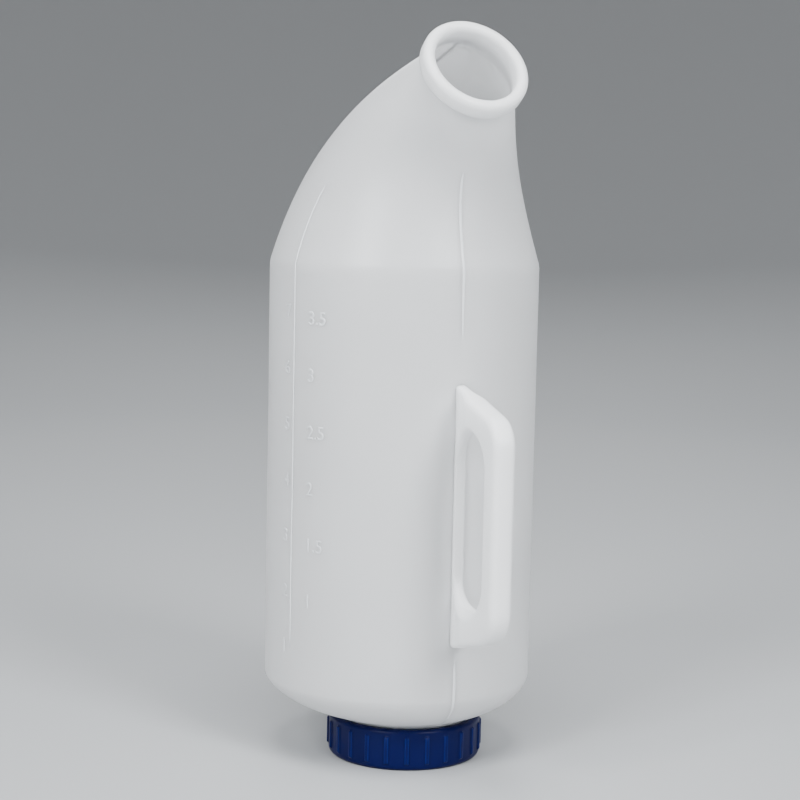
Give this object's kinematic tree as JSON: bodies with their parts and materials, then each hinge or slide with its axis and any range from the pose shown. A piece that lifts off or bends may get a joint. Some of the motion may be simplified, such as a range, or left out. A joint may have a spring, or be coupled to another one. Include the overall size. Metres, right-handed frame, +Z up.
{
  "type": "calf feeding bottle",
  "caption": "Upright calf feeding bottle with a bent open spout, a side handle, a raised volume scale and a ribbed screw cap on its filler neck, on which it stands.",
  "frame": {"origin": "centre of the cap's flat underside, where the bottle stands", "axes": "+Z up the bottle, +X towards the handle and the mouth, Y across the plane of symmetry"},
  "size_m": [0.1968, 0.146, 0.3908],
  "materials": {
    "milky_polyethylene": "milky translucent blow-moulded polyethylene with a soft sheen",
    "blue_polypropylene": "dark saturated blue injection-moulded plastic, satin gloss",
    "washer_foam": "closed-cell white sealing foam, matt"
  },
  "bodies": {
    "bottle": {"bottle_wall": "milky_polyethylene", "shoulder": "milky_polyethylene", "spout": "milky_polyethylene", "mouth_rim": "milky_polyethylene", "domed_base": "milky_polyethylene", "filler_neck": "milky_polyethylene", "neck_thread": "milky_polyethylene", "handle_strip": "milky_polyethylene", "handle_grip": "milky_polyethylene", "volume_line": "milky_polyethylene", "litre_numerals": "milky_polyethylene", "pint_numerals": "milky_polyethylene"},
    "washer": {"sealing_washer": "washer_foam"},
    "cap": {"screw_cap": "blue_polypropylene", "cap_thread": "blue_polypropylene"}
  },
  "joints": [
    {"name": "cap_lower", "type": "slide", "parent": "bottle", "child": "washer", "axis": [0, 0, -1], "range_m": [0, 0.0196]},
    {"name": "cap_turn", "type": "hinge", "parent": "washer", "child": "cap", "pos_m": [0, 0, 0], "axis": [0, 0, -1], "range_deg": [0, 1170]}
  ],
  "couplings": [
    {"joint": "cap_lower", "follows": "cap_turn", "m_per_rad": 0.00095493}
  ]
}
